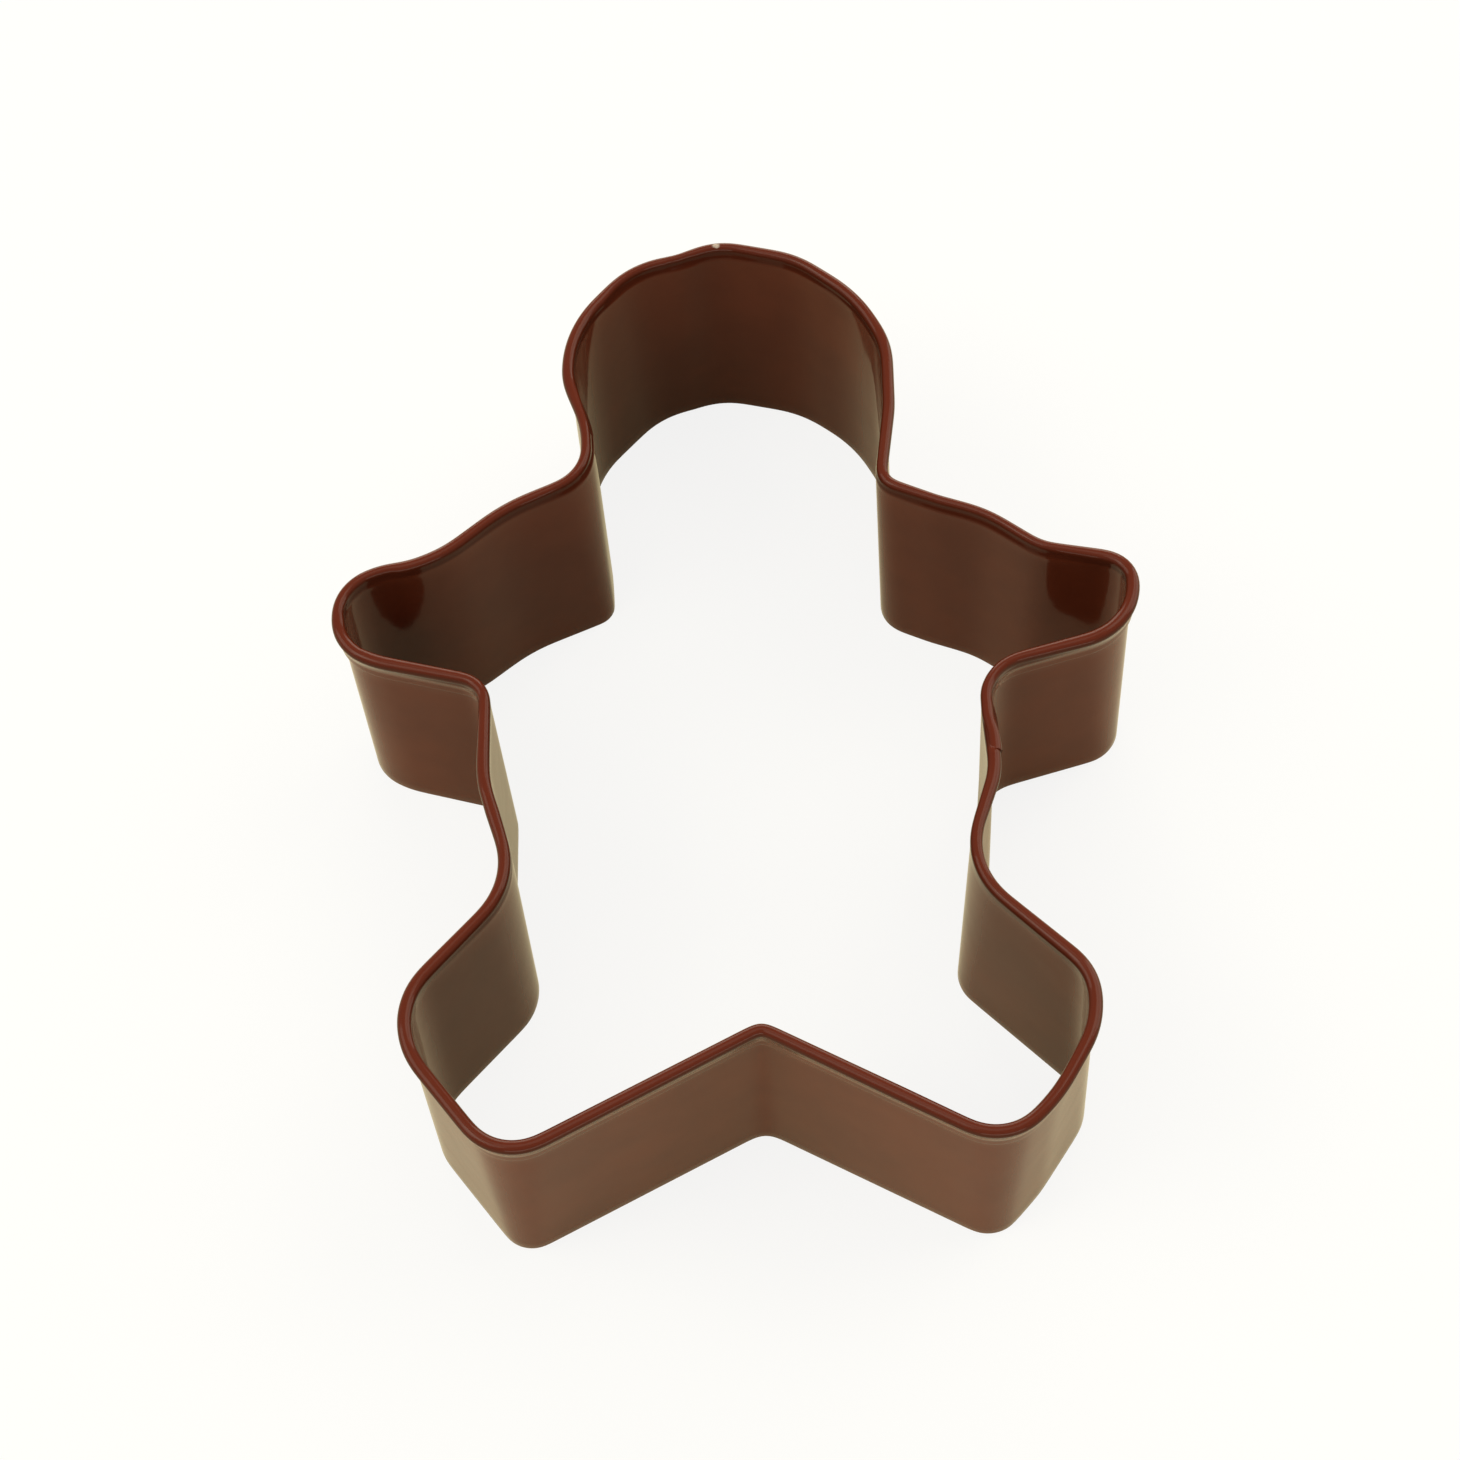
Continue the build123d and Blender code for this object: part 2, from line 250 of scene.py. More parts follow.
def bend(centre, radius, start, turn, pieces):
    """Points round an arc, given by its centre, radius, starting angle and turn."""
    angles = [start + turn * index / pieces for index in range(pieces + 1)]
    return [(centre[0] + radius * cos(angle), centre[1] + radius * sin(angle)) for angle in angles]


def standing_wall(across, low, high):
    """Points up one face of the wall, from low to high, or down it the other way round."""
    pieces = max(1, round(abs(high - low) / wall_piece_height))
    return [(across, low + (high - low) * index / pieces) for index in range(pieces + 1)]


def filled_neck(across, low, high, fill):
    """Points up a face that swells towards the bead, more and more, by a fill in all."""
    shares = [index / fillet_pieces for index in range(fillet_pieces + 1)]
    return [(across + fill * share**fill_hollow, low + (high - low) * share) for share in shares]


def coat_section():
    """The closed outside of the coat."""
    bead_skin = bead_radius + coat_thickness
    inner_face = -half_strip - coat_thickness
    outer_face = half_strip + coat_thickness
    hem_face = flange_offset + outer_face
    inner_meet = acos((bead_offset - inner_face + inner_fill) / bead_skin)
    outer_meet = acos((hem_face + outer_fill - bead_offset) / bead_skin)
    inner_top = bead_height - bead_skin * sin(inner_meet)
    outer_top = bead_height - bead_skin * sin(outer_meet)
    fillet_foot = hem_end_height + 2 * soft_step_radius
    bead_middle = (bead_offset, bead_height)
    around_bead = -half_turn - inner_meet - outer_meet
    turn = acos(1 - flange_offset / (2 * soft_step_radius))
    step_top = hem_end_height + soft_step_rise
    step_end = step_top - 2 * soft_step_radius * sin(turn)
    step_middle = (outer_face + soft_step_radius, step_end)
    outer_edge = (half_strip, coat_thickness)
    inner_edge = (-half_strip, coat_thickness)
    return [
        *standing_wall(inner_face, coat_thickness, fillet_foot)[:-1],
        *filled_neck(inner_face, fillet_foot, inner_top, -inner_fill)[:-1],
        *bend(bead_middle, bead_skin, half_turn + inner_meet, around_bead, bead_pieces)[:-1],
        *filled_neck(hem_face, fillet_foot, outer_top, outer_fill)[::-1],
        *bend((hem_face - soft_step_radius, step_top), soft_step_radius, 0, -turn, soft_step_pieces),
        *bend(step_middle, soft_step_radius, half_turn - turn, turn, soft_step_pieces)[1:],
        *standing_wall(outer_face, step_end, coat_thickness)[1:],
        *bend(outer_edge, coat_thickness, 0, -quarter_turn, edge_pieces)[1:],
        *bend(inner_edge, coat_thickness, -quarter_turn, -quarter_turn, edge_pieces)[:-1],
    ]


def steel_section():
    """The bent strip itself, open inside its curl and behind its hem."""
    inside_neck = neck_bend_radius - half_strip
    outside_neck = neck_bend_radius + half_strip
    hidden_face = flange_offset - half_strip
    bead_middle = (bead_offset, bead_height)
    curl_turn = half_turn + wall_neck_turn + flange_neck_turn
    curl_inside = bead_curl - half_strip
    return [
        *standing_wall(-half_strip, coat_thickness, wall_neck[1])[:-1],
        *bend(wall_neck, inside_neck, 0, wall_neck_turn, neck_pieces)[:-1],
        *bend(bead_middle, bead_radius, half_turn + wall_neck_turn, -curl_turn, bead_pieces)[:-1],
        *bend(flange_neck, inside_neck, half_turn - flange_neck_turn, flange_neck_turn, neck_pieces),
        (flange_offset + half_strip, hem_end_height),
        (hidden_face, hem_end_height),
        *bend(flange_neck, outside_neck, half_turn, -flange_neck_turn, neck_pieces)[:-1],
        *bend(bead_middle, curl_inside, -flange_neck_turn, curl_turn, curl_inside_pieces)[:-1],
        *bend(wall_neck, outside_neck, wall_neck_turn, -wall_neck_turn, neck_pieces),
        *standing_wall(half_strip, wall_neck[1], coat_thickness)[1:],
    ]


# Carrying a section round the figure
# The section follows the line, steps outwards over the inner end, whose bead is crushed to fit under
# it, and leans to the cutting edge's line. The bead is pressed narrower bend by bend.
lap_clearance = 0.03 * mm
wall_step = steel_thickness + lap_clearance
hem_step = 0.38 * mm
bead_lag = 2.4 * mm
lean_end_below_hem = 1.4 * mm
lean_length = 6.0 * mm
crushed_bead_drop = 0.25 * mm
crush_start_below_bead = 0.9 * mm
crush_length = 0.5 * mm
crushed_width_share = 0.65
squeeze_reach = 0.9 * mm
softening_rounds = 4
free_length_share = 1.4


def add_node(tree, kind, inputs=(), **settings):
    """A node with its settings, and its inputs joined to other nodes or set to values."""
    node = tree.nodes.new(kind)
    for name, value in settings.items():
        setattr(node, name, value)
    for name, value in dict(inputs).items():
        in_use = [socket for socket in node.inputs if socket.enabled]
        socket = next(socket for socket in in_use if name in (socket.name, socket.identifier))
        if isinstance(value, bpy.types.NodeSocket):
            tree.links.new(value, socket)
        else:
            socket.default_value = value
    return node


def first_output(node):
    """The first output of a node that is in use."""
    return next(socket for socket in node.outputs if socket.enabled)


def calculate(tree, kind, operation, *values):
    """The result of a sum by a node of the given kind."""
    node = tree.nodes.new(kind)
    node.operation = operation
    for socket, value in zip(node.inputs, values):
        if isinstance(value, bpy.types.NodeSocket):
            tree.links.new(value, socket)
        else:
            socket.default_value = value
    return first_output(node)


def numbers(tree, operation, *values):
    """A sum on numbers."""
    return calculate(tree, "ShaderNodeMath", operation, *values)


def vectors(tree, operation, *values):
    """A sum on vectors."""
    return calculate(tree, "ShaderNodeVectorMath", operation, *values)


def eased(tree, value, low, high, start=0.0, end=1.0):
    """A value's way from low to high, turned into a soft ramp from start to end."""
    inputs = {"Value": value, "From Min": low, "From Max": high, "To Min": start, "To Max": end}
    return first_output(add_node(tree, "ShaderNodeMapRange", inputs, interpolation_type="SMOOTHSTEP"))


def stored(tree, name, kind="FLOAT"):
    """A named value read back from the geometry."""
    inputs = {"Name": name}
    return first_output(add_node(tree, "GeometryNodeInputNamedAttribute", inputs, data_type=kind))


def keep(tree, geometry, name, value, kind="FLOAT"):
    """The geometry with a named value stored on its points."""
    inputs = {"Geometry": geometry, "Name": name, "Value": value}
    settings = {"data_type": kind, "domain": "POINT"}
    return first_output(add_node(tree, "GeometryNodeStoreNamedAttribute", inputs, **settings))


bending = bpy.data.node_groups.new("section_round_figure", "GeometryNodeTree")
for socket_kind, socket_names in {
    "Geometry": ("Line",),
    "Object": ("Section",),
    "Material": ("Finish",),
    "Int": ("Softening rounds",),
    "Float": (
        "Straight ends", "Joggle start", "Joggle end", "Bead lag", "Wall step", "Hem step",
        "Lean start height", "Lean end height", "Crushed end length", "Crush fade",
        "Crush start height", "Crush end height", "Crush drop", "Crushed width share",
        "Squeeze start height", "Squeeze end height", "Bead inside", "Bead outside",
        "Inner face", "Depth",
    ),
}.items():
    socket_type = "NodeSocket" + socket_kind
    for socket_name in socket_names:
        bending.interface.new_socket(socket_name, in_out="INPUT", socket_type=socket_type)
bending.interface.new_socket("Band", in_out="OUTPUT", socket_type="NodeSocketGeometry")
given = bending.nodes.new("NodeGroupInput").outputs

rows = first_output(add_node(bending, "GeometryNodeMeshToCurve", {"Mesh": given["Line"]}))
along = add_node(bending, "GeometryNodeSplineParameter").outputs["Length"]
line_length = add_node(bending, "GeometryNodeSplineLength").outputs["Length"]
rows = keep(bending, rows, "along", along)
rows = keep(bending, rows, "left_over", numbers(bending, "SUBTRACT", line_length, along))
from_ends = numbers(bending, "MINIMUM", stored(bending, "along"), stored(bending, "left_over"))
free_from = numbers(bending, "MULTIPLY", given["Straight ends"], free_length_share)
free_of_ends = eased(bending, from_ends, given["Straight ends"], free_from)


def softened(tree, value):
    """A value along the line, evened out between neighbours but left alone near the strip's ends."""
    inputs = {"Value": value, "Iterations": given["Softening rounds"], "Weight": free_of_ends}
    return first_output(add_node(tree, "GeometryNodeBlurAttribute", inputs, data_type="FLOAT_VECTOR"))


line_place = first_output(add_node(bending, "GeometryNodeInputPosition"))
foot_shift = softened(bending, stored(bending, "foot_shift", "FLOAT_VECTOR"))
rows = keep(bending, rows, "foot_shift", foot_shift, "FLOAT_VECTOR")
soft_rows = {"Geometry": rows, "Position": softened(bending, line_place)}
rows = first_output(add_node(bending, "GeometryNodeSetPosition", soft_rows))
tangent = first_output(add_node(bending, "GeometryNodeInputTangent"))
outward = vectors(bending, "NORMALIZE", vectors(bending, "CROSS_PRODUCT", tangent, (0, 0, 1)))
place = first_output(add_node(bending, "GeometryNodeInputPosition"))
rows = keep(bending, rows, "outward", outward, "FLOAT_VECTOR")
rows = keep(bending, rows, "middle", place, "FLOAT_VECTOR")

section_mesh = add_node(
    bending, "GeometryNodeObjectInfo", {"Object": given["Section"]}, transform_space="ORIGINAL"
).outputs["Geometry"]
section_curve = first_output(add_node(bending, "GeometryNodeMeshToCurve", {"Mesh": section_mesh}))
section_place = add_node(bending, "ShaderNodeSeparateXYZ", {"Vector": place})
section_curve = keep(bending, section_curve, "across", section_place.outputs["X"])
section_curve = keep(bending, section_curve, "up", section_place.outputs["Y"])
sweep = {"Curve": rows, "Profile Curve": section_curve, "Fill Caps": True}
band = first_output(add_node(bending, "GeometryNodeCurveToMesh", sweep))

crush_heights = given["Crush start height"], given["Crush end height"]
top_share = eased(bending, stored(bending, "up"), *crush_heights)
later = numbers(bending, "MULTIPLY_ADD", top_share, given["Bead lag"], stored(bending, "along"))
joggle_share = eased(bending, later, given["Joggle start"], given["Joggle end"], 1.0, 0.0)
lean_heights = given["Lean start height"], given["Lean end height"]
lean_share = eased(bending, stored(bending, "up"), *lean_heights)
step_over_hem = numbers(bending, "SUBTRACT", given["Hem step"], given["Wall step"])
step_change = numbers(bending, "MULTIPLY", step_over_hem, lean_share)
full_step = numbers(bending, "ADD", given["Wall step"], step_change)
step = numbers(bending, "MULTIPLY", full_step, joggle_share)

crush_begin = numbers(bending, "SUBTRACT", given["Crushed end length"], given["Crush fade"])
crush_lengths = crush_begin, given["Crushed end length"]
end_share = eased(bending, stored(bending, "left_over"), *crush_lengths, 1.0, 0.0)
crush = numbers(bending, "MULTIPLY", end_share, top_share)
from_inner_face = numbers(bending, "SUBTRACT", stored(bending, "across"), given["Inner face"])
width_change = numbers(bending, "SUBTRACT", given["Crushed width share"], 1.0)
narrower = numbers(bending, "MULTIPLY", from_inner_face, width_change)
narrower = numbers(bending, "MULTIPLY", narrower, crush)
across = numbers(bending, "ADD", stored(bending, "across"), narrower)
drop = numbers(bending, "MULTIPLY", given["Crush drop"], crush)
height = numbers(bending, "SUBTRACT", stored(bending, "up"), drop)

squeeze = stored(bending, "bead_squeeze")
bead_width = numbers(bending, "SUBTRACT", given["Bead outside"], given["Bead inside"])
to_outside = numbers(bending, "SUBTRACT", given["Bead outside"], across)
to_inside = numbers(bending, "SUBTRACT", across, given["Bead inside"])
outside_share = numbers(bending, "DIVIDE", to_outside, bead_width)
inside_share = numbers(bending, "DIVIDE", to_inside, bead_width)
pressed_out = numbers(bending, "MULTIPLY", numbers(bending, "MAXIMUM", squeeze, 0.0), outside_share)
pressed_in = numbers(bending, "MULTIPLY", numbers(bending, "MINIMUM", squeeze, 0.0), inside_share)
squeeze_heights = given["Squeeze start height"], given["Squeeze end height"]
squeeze_share = eased(bending, stored(bending, "up"), *squeeze_heights)
pressed = numbers(bending, "MULTIPLY", numbers(bending, "ADD", pressed_out, pressed_in), squeeze_share)
across = numbers(bending, "ADD", across, pressed)

hang_share = numbers(bending, "DIVIDE", stored(bending, "up"), given["Depth"])
hang_share = numbers(bending, "SUBTRACT", 1.0, hang_share)


def scaled(tree, vector, factor):
    """A vector times a number."""
    result = vectors(tree, "SCALE", vector)
    tree.links.new(factor, result.node.inputs["Scale"])
    return result


way_out = numbers(bending, "ADD", across, step)
sideways = scaled(bending, stored(bending, "outward", "FLOAT_VECTOR"), way_out)
lean = scaled(bending, stored(bending, "foot_shift", "FLOAT_VECTOR"), hang_share)
upright = first_output(add_node(bending, "ShaderNodeCombineXYZ", {"Z": height}))
moved = vectors(bending, "ADD", stored(bending, "middle", "FLOAT_VECTOR"), sideways)
moved = vectors(bending, "ADD", moved, lean)
moved = vectors(bending, "ADD", moved, upright)
for kind, inputs in (
    ("GeometryNodeSetPosition", {"Position": moved}),
    ("GeometryNodeRealizeInstances", {}),
    ("GeometryNodeSetMaterial", {"Material": given["Finish"]}),
):
    band = first_output(add_node(bending, kind, {"Geometry": band, **inputs}))
bending.links.new(band, bending.nodes.new("NodeGroupOutput").inputs["Band"])


def bent_band(name, section_points, end_reach, inner_face, finish):
    """A section carried round the figure, as a plain mesh with its faces outwards."""
    line = strip_line(name + "_line", end_reach)
    section = edge_line(name + "_section", section_points, closed=True)
    modifier = line.modifiers.new("bending", "NODES")
    modifier.node_group = bending
    values = {
        "Section": section,
        "Finish": finish,
        "Softening rounds": softening_rounds,
        "Straight ends": lap_length + joggle_length,
        "Joggle start": lap_length + end_reach,
        "Joggle end": lap_length + joggle_length + end_reach,
        "Bead lag": bead_lag,
        "Wall step": wall_step,
        "Hem step": hem_step,
        "Lean start height": hem_end_height - lean_end_below_hem - lean_length,
        "Lean end height": hem_end_height - lean_end_below_hem,
        "Crushed end length": lap_length + end_reach,
        "Crush fade": crush_length,
        "Crush start height": bead_height - crush_start_below_bead,
        "Crush end height": bead_height,
        "Crush drop": crushed_bead_drop,
        "Crushed width share": crushed_width_share,
        "Squeeze start height": bead_height - squeeze_reach,
        "Squeeze end height": bead_height,
        "Bead inside": bead_offset - bead_radius - coat_thickness,
        "Bead outside": bead_offset + bead_radius + coat_thickness,
        "Inner face": inner_face,
        "Depth": cutter_depth,
    }
    for item in bending.interface.items_tree:
        if item.name in values:
            modifier[item.identifier] = values[item.name]
    line.update_tag()
    evaluated = line.evaluated_get(bpy.context.evaluated_depsgraph_get())
    band_mesh = bpy.data.meshes.new_from_object(evaluated)
    band_mesh.name = name
    result = bpy.data.objects.new(name, band_mesh)
    bpy.context.collection.objects.link(result)
    for helper in (line, section):
        bpy.data.objects.remove(helper)
    for polygon in band_mesh.polygons:
        polygon.use_smooth = polygon.loop_total == 4
    return result


# The tinned strip
# Tinplate, rolled and tinned bright, 0.25 mm thick. It is sealed under the coat all over, and keeps
# its rolling grain and a little bloom on the tin.


def patches_group():
    """Soft uneven patches: a share from 0 to 1 that changes over the surface."""
    group = bpy.data.node_groups.new("uneven_patches", "ShaderNodeTree")
    group.interface.new_socket("Place", in_out="INPUT", socket_type="NodeSocketVector")
    for name in ("Patches per metre", "Detail", "Contrast"):
        group.interface.new_socket(name, in_out="INPUT", socket_type="NodeSocketFloat")
    group.interface.new_socket("Share", in_out="OUTPUT", socket_type="NodeSocketFloat")
    own = group.nodes.new("NodeGroupInput").outputs
    size = {"Vector": own["Place"], "Scale": own["Patches per metre"], "Detail": own["Detail"]}
    cloud = first_output(add_node(group, "ShaderNodeTexNoise", size))
    half_width = numbers(group, "DIVIDE", 0.5, own["Contrast"])
    low = numbers(group, "SUBTRACT", 0.5, half_width)
    share = eased(group, cloud, low, numbers(group, "ADD", 0.5, half_width))
    group.links.new(share, group.nodes.new("NodeGroupOutput").inputs["Share"])
    return group


def placed(tree, group, inputs):
    """The result of a shader node group set into a material, with its inputs joined or set."""
    return first_output(add_node(tree, "ShaderNodeGroup", inputs, node_tree=group))


def blended(tree, share, low, high):
    """A colour between two others, by a share."""
    opaque = [(*colour, 1) if isinstance(colour, tuple) else colour for colour in (low, high)]
    inputs = {"Factor": share, "A": opaque[0], "B": opaque[1]}
    return first_output(add_node(tree, "ShaderNodeMix", inputs, data_type="RGBA"))


def new_finish(name):
    """An empty material: its tree, its shader and the places on the piece it is put on."""
    finish = bpy.data.materials.new(name)
    finish.use_nodes = True
    tree = finish.node_tree
    own_place = add_node(tree, "ShaderNodeTexCoord").outputs["Object"]
    return finish, tree, tree.nodes["Principled BSDF"], own_place


patches = patches_group()
bright_tin = (0.60, 0.61, 0.62)
bloomed_tin = (0.44, 0.45, 0.46)
tin_roughness = 0.2
bloom_dulls = 0.16
grain_dulls = 0.1
grain_along = 60
grain_across = 5000
grain_depth = 0.004 * mm

steel_finish, tree, shader, own_place = new_finish("tinned_steel")
cloudy = {"Place": own_place, "Patches per metre": 90, "Detail": 4, "Contrast": 3}
bloom = placed(tree, patches, cloudy)
grain_place = vectors(tree, "MULTIPLY", own_place, (grain_along, grain_along, grain_across))
streaky = {"Place": grain_place, "Patches per metre": 1, "Detail": 2, "Contrast": 2}
grain = placed(tree, patches, streaky)
tree.links.new(blended(tree, bloom, bright_tin, bloomed_tin), shader.inputs["Base Color"])
shader.inputs["Metallic"].default_value = 1
dullness = numbers(tree, "MULTIPLY_ADD", grain, grain_dulls, tin_roughness)
dullness = numbers(tree, "MULTIPLY_ADD", bloom, bloom_dulls, dullness)
tree.links.new(dullness, shader.inputs["Roughness"])
grain_relief = {"Height": grain, "Distance": grain_depth, "Strength": 0.6}
tree.links.new(first_output(add_node(tree, "ShaderNodeBump", grain_relief)), shader.inputs["Normal"])

strip = bent_band("tinned_strip", steel_section(), 0, -half_strip, steel_finish)
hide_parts("steel_strip")
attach(strip, "root")

# The spot welds
# Three round spots pressed and fused through both layers of the lap. Each is a flat nugget of bare
# steel, greyer than the tin, with a ring where the heat has tinted it. They follow the lap's lean.
weld_low, weld_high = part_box("spot_welds")
weld_radius = (weld_high[1] - weld_low[1]) / 2
weld_count = 3
weld_rim_pieces = 40
lowest_weld_middle = weld_low[2] + weld_radius
weld_pitch = (weld_high[2] - weld_low[2] - 2 * weld_radius) / (weld_count - 1)
weld_line = (weld_low[1] + weld_high[1]) / 2
clear_of_lap = 3 * mm
weld_steel = (0.34, 0.34, 0.35)
heat_tint = (0.32, 0.24, 0.15)
tint_from = 0.55 * weld_radius
tint_to = 0.95 * weld_radius
weld_roughness = 0.35
weld_dulls = 0.25
weld_grain_depth = 0.03 * mm


def from_weld_middle(tree, own_place):
    """How far a place is from the middle of the nearest weld, seen through the lap."""
    parts = add_node(tree, "ShaderNodeSeparateXYZ", {"Vector": own_place})
    along_lap = numbers(tree, "SUBTRACT", parts.outputs["Y"], weld_line)
    above_lowest = numbers(tree, "SUBTRACT", parts.outputs["Z"], lowest_weld_middle)
    above_weld = numbers(tree, "WRAP", above_lowest, weld_pitch / 2, -weld_pitch / 2)
    flat_place = add_node(tree, "ShaderNodeCombineXYZ", {"X": along_lap, "Y": above_weld})
    return vectors(tree, "LENGTH", first_output(flat_place))


weld_finish, tree, shader, own_place = new_finish("weld_spots")
tint_share = eased(tree, from_weld_middle(tree, own_place), tint_from, tint_to)
fine = {"Place": own_place, "Patches per metre": 1800, "Detail": 3, "Contrast": 2}
weld_patches = placed(tree, patches, fine)
spot_colour = blended(tree, weld_patches, weld_steel, bloomed_tin)
tree.links.new(blended(tree, tint_share, spot_colour, heat_tint), shader.inputs["Base Color"])
shader.inputs["Metallic"].default_value = 1
weld_dullness = numbers(tree, "MULTIPLY_ADD", weld_patches, weld_dulls, weld_roughness)
tree.links.new(weld_dullness, shader.inputs["Roughness"])
weld_relief = {"Height": weld_patches, "Distance": weld_grain_depth, "Strength": 0.5}
tree.links.new(first_output(add_node(tree, "ShaderNodeBump", weld_relief)), shader.inputs["Normal"])


def rim_on_strip(middle_height, start, direction):
    """The round rim of a spot where it meets the strip, coming from one side of the lap."""
    rim = []
    for piece in range(weld_rim_pieces):
        angle = full_turn * piece / weld_rim_pieces
        along_lap = weld_line + weld_radius * cos(angle)
        up = middle_height + weld_radius * sin(angle)
        _, place, *_ = strip.ray_cast((start, along_lap, up), (direction, 0, 0))
        rim.append(place)
    return rim


bpy.context.view_layer.update()
weld_corners, weld_faces = [], []
for weld in range(weld_count):
    middle_height = lowest_weld_middle + weld * weld_pitch
    first = len(weld_corners)
    weld_corners += rim_on_strip(middle_height, weld_low[0] - clear_of_lap, 1)
    weld_corners += rim_on_strip(middle_height, weld_high[0] + clear_of_lap, -1)
    inner = list(range(first, first + weld_rim_pieces))
    outer = [index + weld_rim_pieces for index in inner]
    weld_faces += [inner[::-1], outer]
    for index in range(weld_rim_pieces):
        after = (index + 1) % weld_rim_pieces
        weld_faces.append((inner[index], inner[after], outer[after], outer[index]))
weld_mesh = bpy.data.meshes.new("fused_spots")
weld_mesh.from_pydata(weld_corners, [], weld_faces)
weld_mesh.materials.append(weld_finish)
fused_spots = bpy.data.objects.new("fused_spots", weld_mesh)
bpy.context.collection.objects.link(fused_spots)
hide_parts("spot_welds")
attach(fused_spots, "root")

# The resin coat
# The finished strip is dipped in brown resin and baked. The skin is glossy and a little wavy, and
# it keeps a pale scar on the crown where the cutter hung to dry. The bead's top has a redder painted
# highlight, and the neck under the bead a darker painted shade.
deep_brown = (0.0970, 0.0200, 0.0086)
light_brown = (0.1140, 0.0240, 0.0100)
# A darker brown painted in the neck under the bead as its shade.
painted_neck_shade = (0.058, 0.0120, 0.0056)
# A redder brown painted on the bead's top as its highlight.
painted_bead_highlight = (0.104, 0.0168, 0.0060)
worn_brown = (0.20, 0.085, 0.045)
scar_colour = (0.45, 0.36, 0.30)
scar_place = Vector((-0.85, 47.1, 25.3)) * mm
scar_width = 0.45 * mm
scar_least_reach = 0.6 * scar_width
scar_ragged_by = 0.5 * scar_width
scar_full_share = 0.5
wave_length = 3.5 * mm
wave_depth = 0.02 * mm
peel_length = 0.55 * mm
peel_depth = 0.0012 * mm
dimple_depth = 0.03 * mm
dimple_floor_radius = 0.3 * weld_radius
scar_depth = 0.1 * mm
# Heights where the painted shade in the neck under the bead fades in.
neck_shade_from = bead_height - 0.95 * mm
neck_shade_to = bead_height - 0.45 * mm
# Heights where the painted highlight on the bead's top fades in.
highlight_from = bead_height + 0.15 * mm
highlight_to = bead_height + 0.6 * mm
worn_below = 0.05 * mm
unworn_above = 0.45 * mm
shiny_roughness = 0.06
patches_dull = 0.04
wear_dulls = 0.2
scar_dulls = 0.3
resin_mirroring = 1.2
bead_varnish = 0.1
varnish_roughness = 0.2

coat_finish, tree, shader, own_place = new_finish("brown_resin")
height = add_node(tree, "ShaderNodeSeparateXYZ", {"Vector": own_place}).outputs["Z"]
broad = {"Place": own_place, "Patches per metre": 120, "Detail": 3, "Contrast": 2.5}
fine = {"Place": own_place, "Patches per metre": 900, "Detail": 4, "Contrast": 3}
broad_patches = placed(tree, patches, broad)
fine_patches = placed(tree, patches, fine)
brown = blended(tree, broad_patches, deep_brown, light_brown)
# Painted shade: darker brown from the neck under the bead up to the bead's top.
neck_shade_share = eased(tree, height, neck_shade_from, neck_shade_to)
brown = blended(tree, neck_shade_share, brown, painted_neck_shade)
# Painted highlight: the bead's top turns redder, and the same share puts the varnish there.
bead_top_highlight_and_varnish = eased(tree, height, highlight_from, highlight_to)
brown = blended(tree, bead_top_highlight_and_varnish, brown, painted_bead_highlight)
at_cutting_edge = eased(tree, height, worn_below, unworn_above, 1.0, 0.0)
worn_share = numbers(tree, "MULTIPLY", at_cutting_edge, fine_patches)
brown = blended(tree, worn_share, brown, worn_brown)
from_scar = vectors(tree, "DISTANCE", own_place, tuple(scar_place))
scar_reach = numbers(tree, "MULTIPLY_ADD", fine_patches, scar_ragged_by, scar_least_reach)
way_off_scar = numbers(tree, "DIVIDE", from_scar, scar_reach)
scar_share = eased(tree, way_off_scar, scar_full_share, 1.0, 1.0, 0.0)
brown = blended(tree, scar_share, brown, scar_colour)
tree.links.new(brown, shader.inputs["Base Color"])
dullness = numbers(tree, "MULTIPLY_ADD", broad_patches, patches_dull, shiny_roughness)
dullness = numbers(tree, "MULTIPLY_ADD", worn_share, wear_dulls, dullness)
dullness = numbers(tree, "MULTIPLY_ADD", scar_share, scar_dulls, dullness)
tree.links.new(dullness, shader.inputs["Roughness"])
shader.inputs["IOR"].default_value = resin_mirroring
tree.links.new(numbers(tree, "MULTIPLY", bead_top_highlight_and_varnish, bead_varnish), shader.inputs["Coat Weight"])
shader.inputs["Coat Roughness"].default_value = varnish_roughness
long_waves = {"Vector": own_place, "Scale": 1 / wave_length, "Detail": 1.0}
short_waves = {"Vector": own_place, "Scale": 1 / peel_length, "Detail": 2.0}
waves = first_output(add_node(tree, "ShaderNodeTexNoise", long_waves))
peel = first_output(add_node(tree, "ShaderNodeTexNoise", short_waves))
relief = numbers(tree, "MULTIPLY", waves, wave_depth)
relief = numbers(tree, "MULTIPLY_ADD", peel, peel_depth, relief)
off_weld = from_weld_middle(tree, own_place)
dimple = eased(tree, off_weld, dimple_floor_radius, weld_radius, 1.0, 0.0)
side_parts = add_node(tree, "ShaderNodeSeparateXYZ", {"Vector": own_place}).outputs
on_lap = numbers(tree, "GREATER_THAN", side_parts["X"], weld_low[0] - wall_step)
below_top = numbers(tree, "LESS_THAN", side_parts["Z"], weld_high[2] + weld_radius)
dimple = numbers(tree, "MULTIPLY", dimple, numbers(tree, "MULTIPLY", on_lap, below_top))
relief = numbers(tree, "MULTIPLY_ADD", dimple, -dimple_depth, relief)
relief = numbers(tree, "MULTIPLY_ADD", scar_share, -scar_depth, relief)
skin_bump = add_node(tree, "ShaderNodeBump", {"Height": relief, "Distance": 1.0, "Strength": 1.0})
tree.links.new(first_output(skin_bump), shader.inputs["Normal"])

